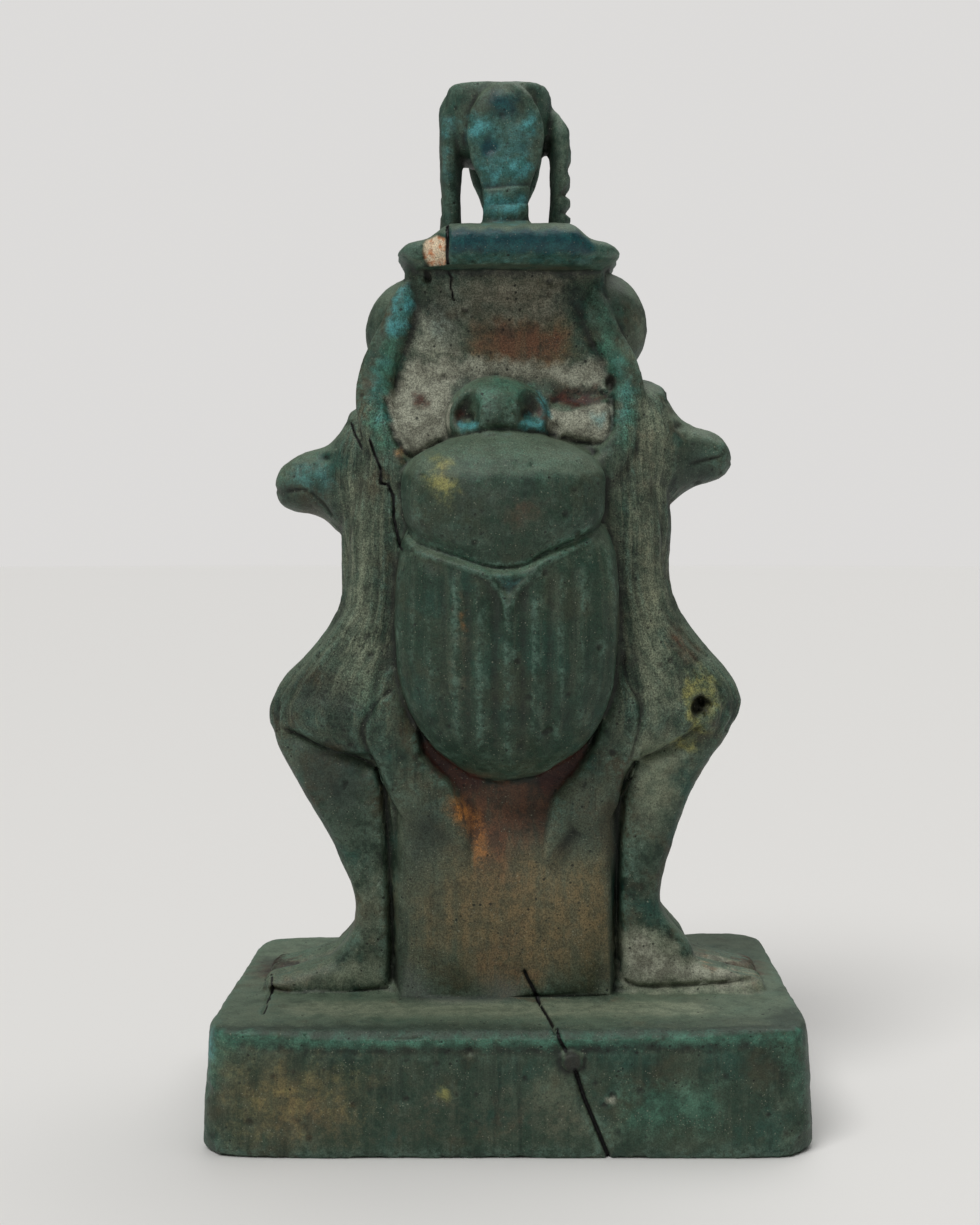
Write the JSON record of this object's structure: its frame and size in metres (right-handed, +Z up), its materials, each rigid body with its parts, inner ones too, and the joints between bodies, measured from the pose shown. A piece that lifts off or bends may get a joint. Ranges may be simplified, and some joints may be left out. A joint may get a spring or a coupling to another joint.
{
  "type": "faience amulet of back-to-back baboons with a scarab",
  "caption": "Small standing amulet in one piece: baboons back to back on a plinth, a scarab in high relief between them, moon discs, an abacus and an openwork cobra crown.",
  "frame": {"origin": "middle of the plinth's underside", "axes": "+Z up; -Y is the side with the scarab; +X and -X are the ways that the baboons face"},
  "size_m": [0.0343, 0.0252, 0.0602],
  "materials": {
    "green_faience": "worn matt green-blue faience glaze with brown stains"
  },
  "bodies": {
    "root": {"amulet": "green_faience"}
  },
  "joints": []
}
